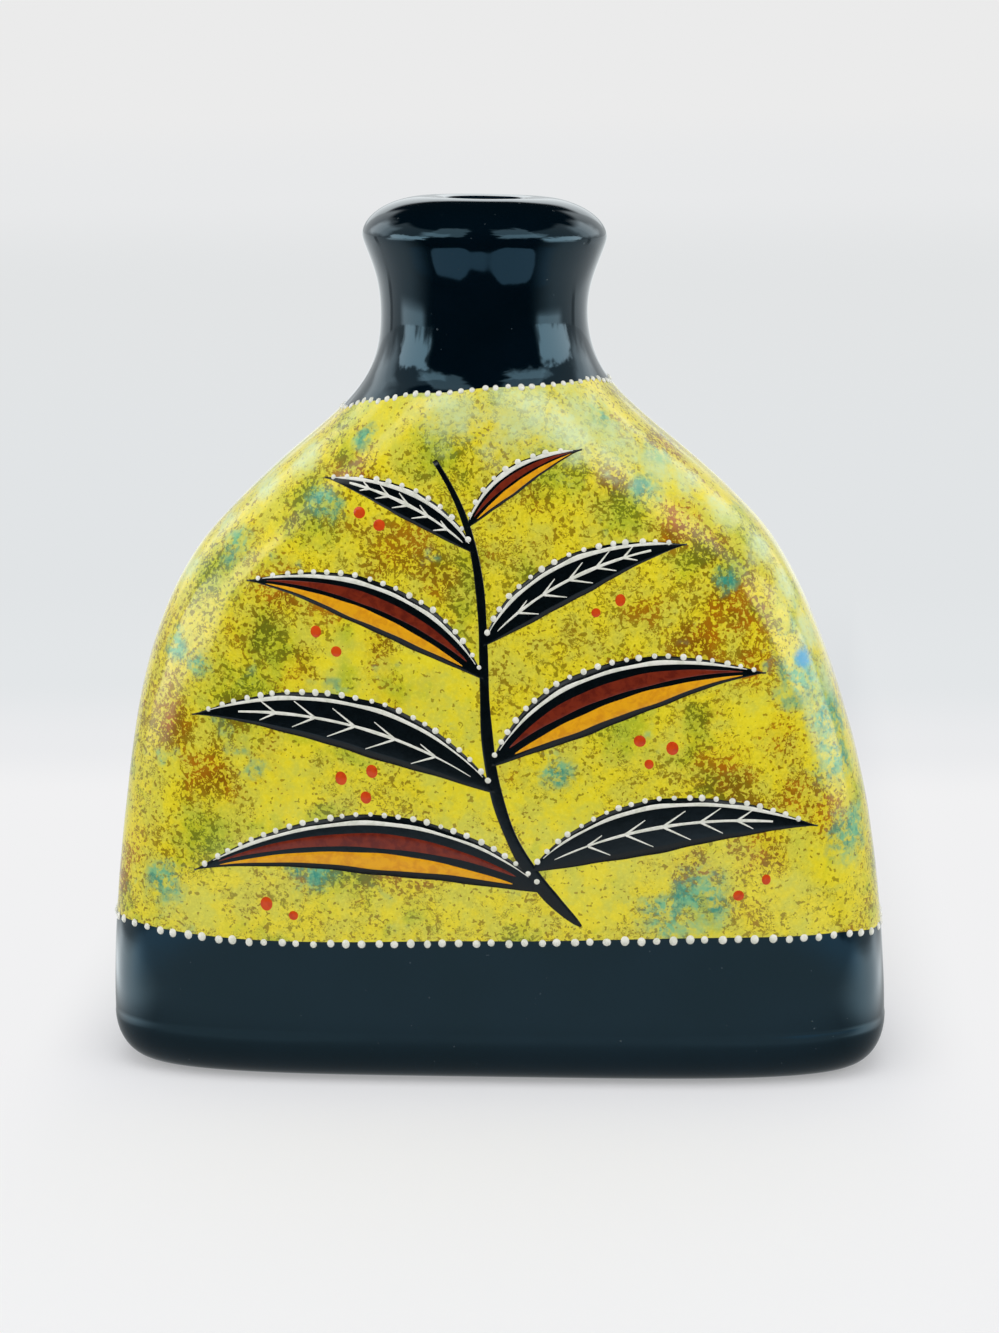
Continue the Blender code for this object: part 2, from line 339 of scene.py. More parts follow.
def piece(name, points, faces, material):
    """A shown mesh that rides on the vase."""
    data = bpy.data.meshes.new(name)
    data.from_pydata([tuple(point) for point in lean(points)], [], faces)
    data.validate()
    data.materials.append(material)
    data.shade_smooth()
    item = bpy.data.objects.new(name, data)
    bpy.context.scene.collection.objects.link(item)
    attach(item, "root")
    return item


def ring_faces(base, rings, count, order=(0, 3, 2, 1), closed=False):
    """Faces between rings of points, with each face's corners in a given order."""
    faces = []
    for j in range(rings if closed else rings - 1):
        a, b = base + j * count, base + (j + 1) % rings * count
        for i in range(count):
            n = (i + 1) % count
            corners = (a + i, a + n, b + n, b + i)
            faces.append(tuple(corners[k] for k in order))
    return faces


def skin(name, rows, material, closed):
    """A solid skin through rows of points: closed into a loop of rows, or capped at both ends."""
    points = [tuple(point) for row in rows for point in row]
    faces = ring_faces(0, len(rows), AROUND, (0, 1, 2, 3), closed)
    if not closed:
        for row, turned in ((0, True), (len(rows) - 1, False)):
            points.append(tuple(np.mean(rows[row], axis=0)))
            centre = len(points) - 1
            for i in range(AROUND):
                pair = (row * AROUND + i, row * AROUND + (i + 1) % AROUND)
                faces.append((centre, pair[1], pair[0]) if turned else (centre, *pair))
    item = piece(name, points, faces, material)
    item.data.set_sharp_from_angle(angle=CRISP_ANGLE)
    return item


def make_foot(material):
    """The dark foot: recess, rest ring, soft lower edge and the band up to its colour break."""
    break_height = line_height(FOOT_LINE, ANGLES)
    zero = np.zeros(AROUND)
    rest_inset = FOOT_EDGE_INSET + FOOT_REST_WIDTH
    rows = [section(ANGLES, zero, rest_inset) + (0, 0, FOOT_RECESS_DEPTH)]
    rows.append(section(ANGLES, zero, rest_inset))
    for i in range(EDGE_ROWS + 1):
        turn = math.pi / 2 * i / EDGE_ROWS
        points = section(ANGLES, zero, FOOT_EDGE_INSET * (1 - math.sin(turn)))
        rows.append(points + (0, 0, FOOT_EDGE_RISE * (1 - math.cos(turn))))
    rows.extend(face_rows(FOOT_EDGE_RISE, break_height, BAND_ROWS)[1:])
    rows.extend(reversed(inner_rows(FOOT_RECESS_DEPTH + WALL, break_height, INNER_ROWS)))
    item = skin("foot_glaze", rows, material, closed=False)
    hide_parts("foot_base")


def make_body(material):
    """The sponged yellow body between the two colour breaks."""
    low = line_height(FOOT_LINE, ANGLES)
    high = line_height(NECK_LINE, ANGLES)
    rows = face_rows(low, high, BODY_ROWS)
    rows.extend(reversed(inner_rows(low, high, INNER_ROWS)))
    item = skin("body_glaze", rows, material, closed=True)
    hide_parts("front_wall", "back_wall")


def make_neck(material):
    """The dark neck: collar, flare, in-curled lip and the inside down to the collar's foot."""
    low = line_height(NECK_LINE, ANGLES)
    rows = face_rows(low, WAIST_HEIGHT, COLLAR_ROWS)[:-1]
    outer, out, inside = rim_curve()
    rows.extend(settle(ring(point), ring(normal)) for point, normal in zip(outer, out))
    rows.extend(ring(point) for point in inside)
    rows.extend(list(reversed(inner_rows(low, WAIST_HEIGHT, INNER_ROWS)))[1:])
    item = skin("neck_glaze", rows, material, closed=True)
    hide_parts("neck_collar", "mouth_rim")


def dome(points, faces, place, normal, radius, rise, stretch):
    """Add one raised dot: a rounded cap that is stretched a little downwards."""
    normal = Vector(normal)
    down = Vector((0, 0, -1)) - normal * -normal.z
    down.normalize()
    side = normal.cross(down)
    base = len(points)
    foot = Vector(place) - normal * radius * DOT_SINK
    for j in range(DOT_RINGS):
        turn = math.pi / 2 * j / DOT_RINGS
        for i in range(DOT_SIDES):
            angle = 2 * math.pi * i / DOT_SIDES
            flat = side * math.cos(angle) + down * math.sin(angle) * stretch
            height = math.sin(turn) * (rise + DOT_SINK) * radius
            points.append(tuple(foot + flat * radius * math.cos(turn) + normal * height))
    points.append(tuple(foot + normal * (rise + DOT_SINK) * radius))
    top = len(points) - 1
    faces.extend(ring_faces(base, DOT_RINGS, DOT_SIDES, (1, 0, 3, 2)))
    last = base + (DOT_RINGS - 1) * DOT_SIDES
    faces.extend((last + (i + 1) % DOT_SIDES, last + i, top) for i in range(DOT_SIDES))
    faces.append(tuple(base + i for i in range(DOT_SIDES)))


def make_dot_row(name, material, line, pitch, radius, drop, seed):
    """A row of hand-set raised dots along a colour break."""
    chance = random.Random(seed)
    fine = np.linspace(-math.pi, math.pi, LINE_SAMPLES)
    length = run_length(section(fine, line_height(line, fine) - drop))
    count = round(length[-1] / pitch)
    points, faces = [], []
    for i in range(count):
        along = (i + chance.uniform(*DOT_PLACES)) * length[-1] / count
        angle = np.interp(along % length[-1], length, fine)
        height = line_height(line, angle) - drop + chance.uniform(*DOT_LEVELS) * radius
        place = section(np.array([angle]), np.array([height]))
        normal = face_normals(place)
        place = settle(place, normal)
        size = radius * chance.uniform(*DOT_SIZES)
        rise = DOT_RISE * chance.uniform(*DOT_RISES)
        dome(points, faces, place[0], normal[0], size, rise, chance.uniform(*DOT_STRETCHES))
    piece(name, points, faces, material)


# Layers of paint: how deep they reach under, how far they stand proud, and how much thinner at the edges
PAINT_UNDER = 0.00030
BLACK_LIFT = 0.00010
COLOUR_LIFT = 0.00015
WHITE_LIFT = 0.00022
STROKE_THINNING = 0.75
STROKE_FLATNESS = 4
PAINT_COLUMNS = 8

# How a brushed width wavers along a stroke: a slow and a fast wave
BRUSH_SLOW = 17
BRUSH_FAST = 41
BRUSH_FAST_SHARE = 0.6
BRUSH_FAST_START = 2.3

# The spray's stem, laid out as (across, up) in millimetres
STEM = ((24, 45), (-18, 82), (18, 122), (-10, 165))
STEM_POINTS = 90
STEM_HALF_WIDTHS = (0.0019, 0.0007)
STEM_ROUNDING = (0.03, 14)
STEM_WAVER = 0.12

# Leaves: kind, root on the stem, tip as (across, up) in millimetres, bow, and width in millimetres
LEAVES = (
    ("two_tone", 0.08, (-76, 58), -0.17, 16.0),
    ("veined", 0.13, (84, 70), 0.15, 14.0),
    ("veined", 0.31, (-74, 99), -0.17, 14.5),
    ("two_tone", 0.37, (72, 110), 0.17, 15.5),
    ("two_tone", 0.56, (-58, 134), -0.17, 12.5),
    ("veined", 0.63, (52, 143), 0.16, 11.0),
    ("veined", 0.82, (-38, 160), -0.14, 7.5),
    ("two_tone", 0.87, (26, 167), 0.16, 6.5),
)
LEAF_POINTS = 72
LEAF_HANDLES = ((0.35, 1.0), (0.72, 0.8))  # share of the run, share of the bow
LEAF_FULLEST = 0.78
LEAF_SLIMNESS = 1.1
LEAF_WAVER = 0.03
LEAF_LEAST_HALF = 0.00022

# Lines on a leaf: how they fade at both ends, and how far off its middle they run, by its half width
FADE_SPAN = (-0.10, 1.10)
FADE_LEAST = 0.003
FADE_POWER = 0.4
LINE_HALF = 0.00055
LINE_LEAST_HALF = 0.00012
LINE_WAVER = 0.25
CONTOUR_OFF = 0.72
CONTOUR_SPAN = slice(4, -5)
BANDS = (("maroon", 0.14, 0.30), ("ochre", -0.52, 0.31))
BAND_SPAN = slice(6, -6)
BAND_WAVER = 0.08
RIB_OFF = -0.05
RIB_SPAN = slice(6, -12)
RIB_SHARE = 0.8
VEIN_ROOTS = range(14, LEAF_POINTS - 16, 9)
VEIN_REACHES = (0.46, -0.62)
VEIN_RUN = 0.9
VEIN_START = 0.04
VEIN_POINTS = 10
VEIN_HALF_WIDTHS = (0.00034, 0.00012)

# Dots round the leaves: clear of the stalk and the tip by these lengths
BEAD_PITCH = 0.0036
BEAD_RADIUS = 0.00078
BEAD_RISE = 0.5
BEAD_CLEAR = (0.0035, 0.002)
BEAD_PLACES = (-0.12, 0.12)
BEAD_SIZES = (0.82, 1.18)
BEAD_STRETCHES = (0.95, 1.1)

# Berries as (across, up) in millimetres
BERRIES = (
    (-30, 79), (-36, 84), (-28, 86), (42, 88), (48, 92), (40, 94), (-35, 117), (-40, 122),
    (30, 127), (36, 130), (-24, 149), (-29, 152), (64, 53), (71, 57), (-50, 47), (-57, 50))
BERRY_RADIUS = 0.0021
BERRY_RISE = 0.10
BERRY_SIZES = (0.8, 1.1)
BERRY_STRETCHES = (0.95, 1.25)
BERRY_SEED = 5


def on_front(x, z, lift):
    """Points on the front face, given across and up, raised by a lift."""
    x, z = np.asarray(x, float), np.asarray(z, float)
    power = squareness(z)
    share = np.clip(1 - np.abs(x / half_width(z)) ** power, 0, 1)
    points = np.stack((x, -half_depth(z) * share ** (1 / power), z), axis=-1)
    return settle(points, face_normals(points), lift)


def crossways(line):
    """Unit directions square to a line's run, to its left."""
    along = np.gradient(line, axis=0)
    along /= np.linalg.norm(along, axis=-1, keepdims=True)
    return np.stack((-along[:, 1], along[:, 0]), axis=-1)


def stroke(points, faces, centre, half, lift):
    """Add one brush stroke: a thin closed strip along a centre line, thin at its edges."""
    across = crossways(centre)
    base = len(points)
    spread = np.linspace(-1, 1, PAINT_COLUMNS)
    loop = 2 * PAINT_COLUMNS
    for i in range(len(centre)):
        flat = centre[i] + across[i] * half[i] * spread[:, None]
        top = on_front(flat[:, 0], flat[:, 1], lift * (1 - STROKE_THINNING * spread ** STROKE_FLATNESS))
        under = on_front(flat[:, 0], flat[:, 1], np.full(PAINT_COLUMNS, -PAINT_UNDER))
        points.extend(tuple(point) for point in top)
        points.extend(tuple(point) for point in under[::-1])
    faces.extend(ring_faces(base, len(centre), loop))
    faces.append(tuple(base + j for j in range(loop)))
    end = base + (len(centre) - 1) * loop
    faces.append(tuple(end + j for j in reversed(range(loop))))


def brushed(count, phase, depth):
    """Widths that waver as a hand-held brush leaves them."""
    t = np.linspace(0, 1, count)
    slow = np.sin(BRUSH_SLOW * t + phase)
    fast = np.sin(BRUSH_FAST * t + BRUSH_FAST_START * phase)
    return 1 + depth * (slow + BRUSH_FAST_SHARE * fast) / (1 + BRUSH_FAST_SHARE)


def leaf_line(root, tip, bow):
    """A leaf's centre line, from the stem to its tip."""
    start = bezier(STEM, [root])[0] / MM
    tip = np.array(tip) / MM
    run = tip - start
    aside = np.array((-run[1], run[0])) * bow
    handles = [start + run * along + aside * share for along, share in LEAF_HANDLES]
    return bezier((start, *handles, tip), np.linspace(0, 1, LEAF_POINTS))


def leaf_half(width, phase):
    """A leaf's half width along its line: slim at the stalk, fullest before the middle, pointed."""
    t = np.linspace(0, 1, LEAF_POINTS)
    shape = np.sin(math.pi * t ** LEAF_FULLEST) ** LEAF_SLIMNESS * brushed(LEAF_POINTS, phase, LEAF_WAVER)
    return np.maximum(width / (2 * MM) * shape, LEAF_LEAST_HALF)


def dot_line(dots, line, phase):
    """A hand-set row of raised dots along a line on the front."""
    length = run_length(line)
    chance = random.Random(phase)
    for place in np.arange(BEAD_CLEAR[0], length[-1] - BEAD_CLEAR[1], BEAD_PITCH):
        place += chance.uniform(*BEAD_PLACES) * BEAD_PITCH
        x = np.interp(place, length, line[:, 0])
        z = np.interp(place, length, line[:, 1])
        spot = on_front([x], [z], [0.0])
        size = BEAD_RADIUS * chance.uniform(*BEAD_SIZES)
        stretch = chance.uniform(*BEAD_STRETCHES)
        dome(*dots, spot[0], face_normals(spot)[0], size, BEAD_RISE, stretch)


def add_bands(layers, line, over, half, fade, phase):
    """Two bands of colour along a leaf."""
    width = half * fade * brushed(LEAF_POINTS, phase + 1, BAND_WAVER)
    for name, off, share in BANDS:
        band = line + over * (half * off)[:, None]
        stroke(*layers[name], band[BAND_SPAN], width[BAND_SPAN] * share, COLOUR_LIFT)


def add_veins(layers, line, over, half, thin):
    """A white rib along a leaf, and veins from it to both sides."""
    rib = line + over * (half * RIB_OFF)[:, None]
    stroke(*layers["white"], rib[RIB_SPAN], thin[RIB_SPAN] * RIB_SHARE, WHITE_LIFT)
    run = line[-1] - line[0]
    run = run / np.linalg.norm(run)
    for i in VEIN_ROOTS:
        for reach in VEIN_REACHES:
            end = rib[i] + over[i] * half[i] * reach + run * half[i] * VEIN_RUN
            vein = rib[i] + (end - rib[i]) * np.linspace(VEIN_START, 1, VEIN_POINTS)[:, None]
            stroke(*layers["white"], vein, np.linspace(*VEIN_HALF_WIDTHS, VEIN_POINTS), WHITE_LIFT)


def add_leaf(layers, kind, root, tip, bow, width, phase):
    """One leaf: black ground, white contour, a row of dots, and veins or two bands of colour."""
    line = leaf_line(root, tip, bow)
    half = leaf_half(width, phase)
    over = crossways(line) * (-1 if bow < 0 else 1)
    stroke(*layers["black"], line, half, BLACK_LIFT)
    fade = np.clip(np.sin(math.pi * np.linspace(*FADE_SPAN, LEAF_POINTS)), FADE_LEAST, 1) ** FADE_POWER
    thin = np.maximum(LINE_HALF * fade * brushed(LEAF_POINTS, phase, LINE_WAVER), LINE_LEAST_HALF)
    contour = line + over * (half * CONTOUR_OFF)[:, None]
    stroke(*layers["white"], contour[CONTOUR_SPAN], thin[CONTOUR_SPAN], WHITE_LIFT)
    dot_line(layers["white"], line + over * half[:, None], phase)
    if kind == "two_tone":
        add_bands(layers, line, over, half, fade, phase)
    else:
        add_veins(layers, line, over, half, thin)


def add_stem(layers):
    """The spray's black stem, rounded off at its foot."""
    line = bezier(STEM, np.linspace(0, 1, STEM_POINTS)) / MM
    rounded = np.sqrt(np.clip(np.linspace(*STEM_ROUNDING, STEM_POINTS), 0, 1))
    half = np.linspace(*STEM_HALF_WIDTHS, STEM_POINTS) * brushed(STEM_POINTS, 1, STEM_WAVER)
    stroke(*layers["black"], line, half * rounded, BLACK_LIFT)


def add_berries(layers):
    """Small berries beside the leaves."""
    chance = random.Random(BERRY_SEED)
    for x, z in BERRIES:
        spot = on_front([x / MM], [z / MM], [0.0])
        size = BERRY_RADIUS * chance.uniform(*BERRY_SIZES)
        stretch = chance.uniform(*BERRY_STRETCHES)
        dome(*layers["orange"], spot[0], face_normals(spot)[0], size, BERRY_RISE, stretch)


def make_spray(paints):
    """The painted leaf spray: stem, leaves and berries."""
    layers = {name: ([], []) for name in paints}
    add_stem(layers)
    for phase, leaf in enumerate(LEAVES):
        add_leaf(layers, *leaf, phase)
    add_berries(layers)
    for name, (points, faces) in layers.items():
        piece("spray_" + name, points, faces, paints[name])


# Noise patterns: where each is read from, scale, detail, roughness and distortion
HERE = (0, 0, 0)
NOISES = {
    "pooling": (HERE, 38, 2.0),
    "dust": (HERE, 900, 1.0),
    "orange_peel": (HERE, 160, 1.0),
    "ragged": (HERE, 150, 4.0, 0.7),
    "rust": ((3.1, 0.4, 1.7), 48, 3.0, 0.6),
    "green": ((0.7, 2.9, 5.3), 55, 3.0, 0.6),
    "teal": ((6.2, 1.1, 0.3), 60, 3.0, 0.65),
    "lively": ((4.4, 4.4, 0.9), 34, 3.0, 0.65),
    "tint": (HERE, 120, 4.0, 0.65),
    "grain": ((7.3, 2.4, 4.8), 1200, 2.0, 0.7),
    "web": (HERE, 340, 4.0, 0.70, 0.35),
    "breaks": ((1.9, 8.8, 2.7), 260, 3.0, 0.7),
    "specks": ((5.5, 0.2, 6.1), 860, 1.0, 0.5),
    "burnt": ((0.4, 6.6, 3.2), 90, 2.0, 0.6),
    "mottle": ((2.2, 3.3, 9.1), 420, 3.0, 0.65),
    "glaze_relief": (HERE, 150, 1.0),
    "streaks": (HERE, 420, 3.0, 0.6, 0.5),
    "brush_relief": (HERE, 500, 2.0),
    "paper_relief": (HERE, 900, 2.0),
    "floor_waves": (HERE, 16, 2.0),
    "wobble_turn": (HERE, 5, 3.0, 0.6),
    "wobble_height": ((3, 5, 7), 5, 3.0, 0.6),
}


class Nodes:
    """A material's or world's node tree, with short calls for what this scene uses."""

    def __init__(self, tree):
        self.tree = tree

    def new(self, kind, **values):
        node = self.tree.nodes.new(kind)
        for name, value in values.items():
            setattr(node, name, value)
        return node

    def link(self, source, target):
        self.tree.links.new(source, target)

    def put(self, socket, value):
        if isinstance(value, bpy.types.NodeSocket):
            self.link(value, socket)
        else:
            socket.default_value = value

    def parts(self, vector):
        node = self.new("ShaderNodeSeparateXYZ")
        self.link(vector, node.inputs[0])
        return node.outputs

    def noise(self, place, name):
        """A noise pattern from the table, from 0 to 1."""
        start, *settings = NOISES[name]
        node = self.new("ShaderNodeTexNoise")
        self.link(self.vector("ADD", place, start), node.inputs["Vector"])
        for key, value in zip(("Scale", "Detail", "Roughness", "Distortion"), settings):
            node.inputs[key].default_value = value
        return node.outputs["Fac"]

    def maths(self, operation, a, b=0.0, c=0.0, clamp=False):
        node = self.new("ShaderNodeMath", operation=operation, use_clamp=clamp)
        for socket, value in zip(node.inputs, (a, b, c)):
            self.put(socket, value)
        return node.outputs[0]

    def times(self, a, b):
        return self.maths("MULTIPLY", a, b)

    def less(self, a, b):
        return self.maths("SUBTRACT", a, b)

    def most(self, a, b):
        return self.maths("MAXIMUM", a, b)

    def scaled(self, value, factor, offset):
        """A value times a factor, plus an offset."""
        return self.maths("MULTIPLY_ADD", value, factor, offset)

    def dimmed(self, value, mask, depth):
        """A value that a mask brings down by a share."""
        return self.times(value, self.scaled(mask, -depth, 1.0))

    def rise(self, value, low, high):
        """0 below low, 1 above high, smooth between; low above high turns it round."""
        node = self.new("ShaderNodeMapRange", interpolation_type="SMOOTHSTEP", clamp=True)
        for name, entry in (("Value", value), ("From Min", low), ("From Max", high)):
            self.put(node.inputs[name], entry)
        return node.outputs["Result"]

    def between(self, value, low, high, soft):
        """1 between low and high, 0 outside, smooth at both ends."""
        inside = self.rise(value, low - soft, low + soft)
        return self.times(inside, self.rise(value, high + soft, high - soft))

    def joined(self, value):
        """A vector with the same value three times."""
        node = self.new("ShaderNodeCombineXYZ")
        for socket in node.inputs:
            self.put(socket, value)
        return node.outputs[0]

    def mix(self, factor, a, b):
        node = self.new("ShaderNodeMix", data_type="RGBA")
        self.put(node.inputs["Factor"], factor)
        for name, value in (("A", a), ("B", b)):
            self.put([s for s in node.inputs if s.name == name and s.type == "RGBA"][0], value)
        return [s for s in node.outputs if s.type == "RGBA"][0]

    def vector(self, operation, a, b=(0, 0, 0)):
        node = self.new("ShaderNodeVectorMath", operation=operation)
        self.put(node.inputs[0], a)
        self.put(node.inputs[1], b)
        return node.outputs["Value"] if operation in ("DISTANCE", "DOT_PRODUCT") else node.outputs[0]


def srgb(red, green, blue):
    """A colour written as it shows, as linear light."""
    values = []
    for value in (red, green, blue):
        part = value / 255
        values.append(part / 12.92 if part <= 0.04045 else ((part + 0.055) / 1.055) ** 2.4)
    return (*values, 1.0)


def new_material(name, roughness, specular):
    """A material with its nodes, its shader and the object's own coordinates."""
    material = bpy.data.materials.new(name)
    material.use_nodes = True
    nodes = Nodes(material.node_tree)
    shader = material.node_tree.nodes["Principled BSDF"]
    shader.inputs["Roughness"].default_value = roughness
    shader.inputs["Specular IOR Level"].default_value = specular
    place = nodes.new("ShaderNodeTexCoord").outputs["Object"]
    return material, nodes, shader, place


def dress(nodes, shader, colour, height, relief):
    """Give a shader its colour and a fine relief, from a height value, a distance and a strength."""
    nodes.link(colour, shader.inputs["Base Color"])
    node = nodes.new("ShaderNodeBump")
    nodes.link(height, node.inputs["Height"])
    node.inputs["Distance"].default_value, node.inputs["Strength"].default_value = relief
    nodes.link(node.outputs["Normal"], shader.inputs["Normal"])


# Black glaze. A span is what a mask rises over, from 0 to 1
BLACK_DEEP = srgb(1, 10, 17)
BLACK_POOLED = srgb(3, 14, 23)
DUST = srgb(120, 130, 135)
POOLING_SPAN = (0.35, 0.70)
DUST_SPAN = (0.79, 0.81)
DUST_SHARE = 0.25
DUST_RELIEF = 0.6
BLACK_SHEEN = (0.46, 0.80, 1.0, 1.0)
GLAZE_RELIEF = (0.00006, 0.5)


def black_glaze():
    """High-gloss blue-black glaze with faint pooling and dust specks."""
    material, nodes, shader, place = new_material("black_glaze", roughness=0.07, specular=0.44)
    pooled = nodes.rise(nodes.noise(place, "pooling"), *POOLING_SPAN)
    colour = nodes.mix(pooled, BLACK_DEEP, BLACK_POOLED)
    dust = nodes.rise(nodes.noise(place, "dust"), *DUST_SPAN)
    colour = nodes.mix(nodes.times(dust, DUST_SHARE), colour, DUST)
    shader.inputs["Specular Tint"].default_value = BLACK_SHEEN
    peel = nodes.noise(place, "orange_peel")
    dress(nodes, shader, colour, nodes.scaled(dust, DUST_RELIEF, peel), GLAZE_RELIEF)
    return material


# Stains that the sponge left on the front, and a pale wash that is partly pale glaze and partly painted
# sheen: across, up and radius, in millimetres
STAINS = {
    "rust": (
        (-31, 161, 7), (-50, 132, 10), (-56, 120, 9), (-80, 96, 9), (-70, 84, 10), (-62, 100, 7),
        (-36, 128, 9), (-26, 118, 6), (34, 159, 6), (50, 148, 9), (58, 141, 8), (64, 128, 12),
        (54, 118, 9), (68, 112, 8), (76, 92, 9), (79, 78, 9), (86, 73, 9), (62, 84, 10), (70, 64, 9),
        (53, 60, 7), (35, 111, 7), (-20, 62, 10)),
    "green": (
        (-43, 152, 10), (-69, 134, 10), (-54, 118, 10), (-9, 166, 9), (18, 162, 9), (37, 153, 8),
        (62, 136, 7), (36, 98, 9), (-38, 62, 13), (-60, 104, 12), (-72, 66, 10), (86, 104, 8),
        (-70, 150, 9)),
    "teal": (
        (-28, 170, 4), (-38, 154, 5), (-62, 142, 6), (-79, 116, 5), (-72, 112, 4), (31, 174, 5),
        (44, 164, 5), (41, 158, 5), (61, 134, 4), (80, 108, 8), (88, 97, 9), (89, 86, 8), (46, 48, 8),
        (55, 52, 9), (8, 58, 4), (19, 86, 5), (-44, 60, 7), (93, 66, 8), (-84, 54, 7)),
    "plain": (
        (-33, 120, 9), (-12, 106, 17), (-2, 86, 17), (21, 72, 12), (-26, 176, 12), (28, 52, 11),
        (-48, 80, 8)),
    # Pale mint wash under the neck and along both shoulders: partly pale glaze, partly painted sheen
    # where the studio light glances off the glaze
    "pale_glaze_and_sheen": (
        (10, 177, 13), (24, 174, 13), (35, 168, 11), (44, 162, 8), (51, 158, 6), (60, 150, 6),
        (70, 140, 6), (77, 130, 6), (83, 119, 6), (88, 106, 6), (-44, 164, 6), (-55, 156, 6),
        (-66, 146, 5), (-76, 134, 5), (-5, 177, 9)),
    "cyan": ((81, 113, 3.2),),
}
STAIN_SPAN = (1.75, 0.65)
STAIN_RAGGEDNESS = (2.2, -0.6)

# Clouds of the same colours all over the body: span of their noise, and share
CLOUDS = {"rust": ((0.54, 0.68), 0.7), "green": ((0.54, 0.68), 0.8), "teal": ((0.62, 0.74), 0.8)}

# How densely the sponge dabbed: span and share of its own noise, and what each stain adds or takes
LIVELY_SPAN = (0.34, 0.62)
LIVELY_SHARE = 0.50
RUST_DENSITY = 0.60
GREEN_DENSITY = 0.30
PLAIN_DENSITY = 0.75

# Ground of the body. An amount is (factor, offset) on the density
YELLOW = srgb(236, 219, 42)
LEMON = srgb(216, 210, 72)
TINT_SPAN = (0.40, 0.62)
GROUND_STAINS = (
    ("density", 0.34, srgb(214, 186, 12)),
    ("rust", 0.20, srgb(214, 170, 10)),
    ("green", 0.60, srgb(150, 180, 42)))
GRAIN_DARK = srgb(138, 124, 12)
GRAIN_DARK_SPAN = (0.48, 0.62)
GRAIN_DARK_AMOUNT = (0.26, 0.05)
GRAIN_LIGHT = srgb(244, 234, 78)
GRAIN_LIGHT_SPAN = (0.46, 0.34)
GRAIN_LIGHT_SHARE = 0.30

# Specks: a web of lines round the middle of its noise, cut into pieces, and dots between them
WEB_WIDTH = (0.050, -0.004)
WEB_SPAN = (0.012, -0.008)
CUT_LIMIT = (-0.12, 0.545)
CUT_SPAN = (-0.03, 0.03)
SPECK_LIMIT = (-0.160, 0.674)
SPECK_SPAN = (-0.012, 0.020)
SPECK_STRENGTH = (0.22, 0.70)
SPECK_OLIVE = srgb(134, 116, 8)
SPECK_RUST = srgb(168, 90, 4)
SPECK_BURNT = srgb(128, 76, 4)
SPECK_GREEN = srgb(82, 108, 22)
BURNT_SPAN = (0.42, 0.58)
BURNT_SHARE = 0.4
GREEN_SHARE = 0.75
SPECK_RELIEF = 0.15

# Thin washes over the specks. An amount is (factor, offset) on the mottle
AQUA_PALE = srgb(112, 184, 140)
AQUA_DEEP = srgb(52, 148, 128)
AQUA_SPAN = (0.42, 0.58)
VEIL_SPAN = (0.40, 0.56)
VEIL_AMOUNT = (0.66, 0.26)
# Pale mint of that wash: partly the glaze's own colour, partly painted sheen
MINT_GLAZE_AND_SHEEN = srgb(203, 222, 166)
MINT_SHEEN_SPAN = (0.36, 0.60)
MINT_SHEEN_AMOUNT = (-0.26, 0.82)
CYAN = srgb(22, 150, 196)
CYAN_SHARE = 0.92


def stained(nodes, place, stains, ragged):
    """How deep places lie in any of the stains: 0 outside, 1 at a middle."""
    deepest = None
    for across, up, radius in stains:
        middle = on_front([across / MM], [up / MM], 0.0)[0]
        away = nodes.vector("DISTANCE", place, tuple(middle))
        depth = nodes.rise(nodes.scaled(away, MM / radius, ragged), *STAIN_SPAN)
        deepest = depth if deepest is None else nodes.most(deepest, depth)
    return deepest


def glaze_masks(nodes, place):
    """How deep places lie in each colour's stains, and how densely the sponge dabbed."""
    ragged = nodes.scaled(nodes.noise(place, "ragged"), *STAIN_RAGGEDNESS)
    masks = {name: stained(nodes, place, stains, ragged) for name, stains in STAINS.items()}
    for name, (span, share) in CLOUDS.items():
        cloud = nodes.rise(nodes.noise(place, name), *span)
        masks[name] = nodes.most(masks[name], nodes.times(cloud, share))
    lively = nodes.rise(nodes.noise(place, "lively"), *LIVELY_SPAN)
    density = nodes.times(lively, LIVELY_SHARE)
    density = nodes.scaled(masks["rust"], RUST_DENSITY, density)
    density = nodes.scaled(masks["green"], GREEN_DENSITY, density)
    plain = nodes.times(masks["plain"], PLAIN_DENSITY)
    masks["density"] = nodes.maths("SUBTRACT", density, plain, clamp=True)
    return masks


def glaze_ground(nodes, place, masks):
    """The yellow ground, deeper and greener in the stains, with a fine grain."""
    tint = nodes.rise(nodes.noise(place, "tint"), *TINT_SPAN)
    ground = nodes.mix(tint, YELLOW, LEMON)
    for name, share, colour in GROUND_STAINS:
        ground = nodes.mix(nodes.times(masks[name], share), ground, colour)
    grain = nodes.noise(place, "grain")
    amount = nodes.scaled(masks["density"], *GRAIN_DARK_AMOUNT)
    ground = nodes.mix(nodes.times(nodes.rise(grain, *GRAIN_DARK_SPAN), amount), ground, GRAIN_DARK)
    lights = nodes.times(nodes.rise(grain, *GRAIN_LIGHT_SPAN), GRAIN_LIGHT_SHARE)
    return nodes.mix(lights, ground, GRAIN_LIGHT)


def glaze_specks(nodes, place, masks, breaks):
    """Where the sponge left specks: thicker and closer where it dabbed densely."""
    web = nodes.maths("ABSOLUTE", nodes.less(nodes.noise(place, "web"), 0.5))
    width = nodes.scaled(masks["density"], *WEB_WIDTH)
    lines = nodes.rise(nodes.less(web, width), *WEB_SPAN)
    cut = nodes.scaled(masks["density"], *CUT_LIMIT)
    lines = nodes.times(lines, nodes.rise(nodes.less(breaks, cut), *CUT_SPAN))
    limit = nodes.scaled(masks["density"], *SPECK_LIMIT)
    dots = nodes.rise(nodes.less(nodes.noise(place, "specks"), limit), *SPECK_SPAN)
    return nodes.most(lines, dots)


